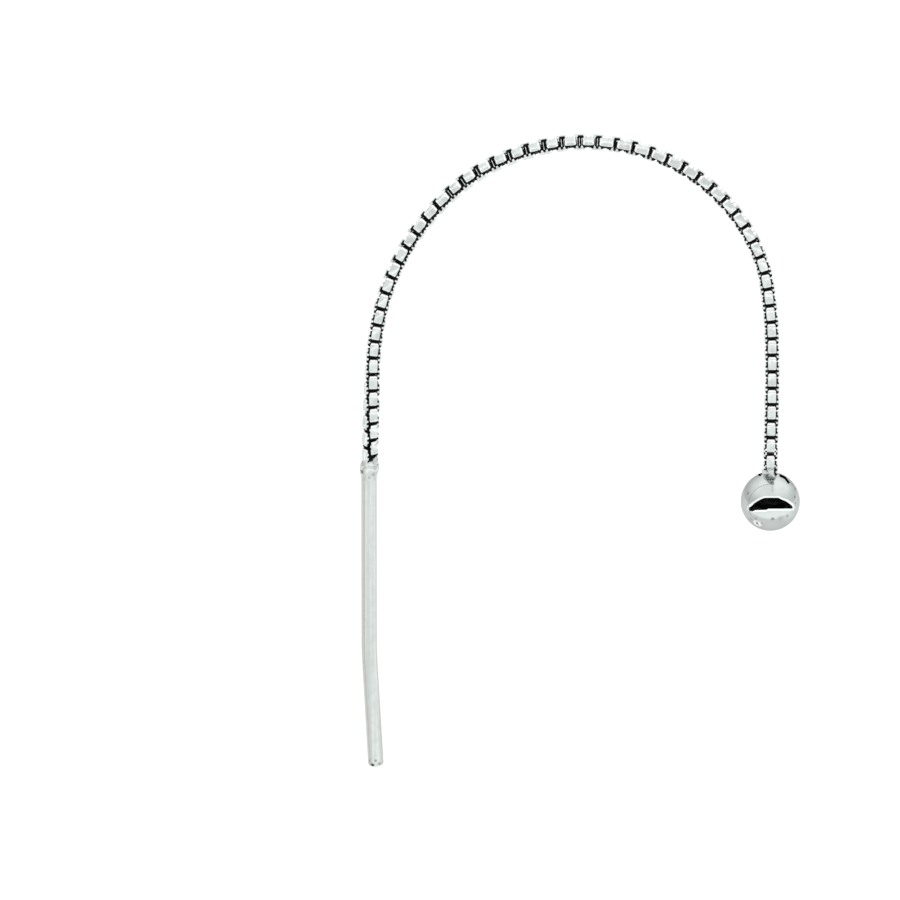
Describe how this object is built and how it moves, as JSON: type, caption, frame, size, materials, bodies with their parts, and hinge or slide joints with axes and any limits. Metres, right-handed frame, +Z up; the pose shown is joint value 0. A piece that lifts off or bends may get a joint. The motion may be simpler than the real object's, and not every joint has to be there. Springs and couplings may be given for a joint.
{
  "type": "threader earring",
  "caption": "Threader earring: fine box chain with a polished ball at the front end and a straight bar post at the back end, hung in the arch it takes through an ear.",
  "frame": {"origin": "the middle of the chain at the crest of its arch, where it lies in the piercing", "axes": "+Z up, +X from the post's leg to the ball's leg, the arch lies in the XZ plane and its front faces -Y"},
  "size_m": [0.0222, 0.003, 0.0344],
  "materials": {
    "ball_silver": "polished",
    "chain_silver": "polished",
    "post_silver": "polished"
  },
  "bodies": {
    "chain": {"chain": "chain_silver"},
    "ball": {"ball": "ball_silver"},
    "post": {"post": "post_silver"}
  },
  "joints": [
    {"name": "ball_swing", "type": "hinge", "parent": "chain", "child": "ball", "pos_m": [0.0093, 0, -0.01705], "axis": [0, 1, 0], "range_deg": [-12, 12]},
    {"name": "post_swing", "type": "hinge", "parent": "chain", "child": "post", "pos_m": [-0.0109, 0, -0.01675], "axis": [0, 1, 0], "range_deg": [-12, 12]}
  ]
}
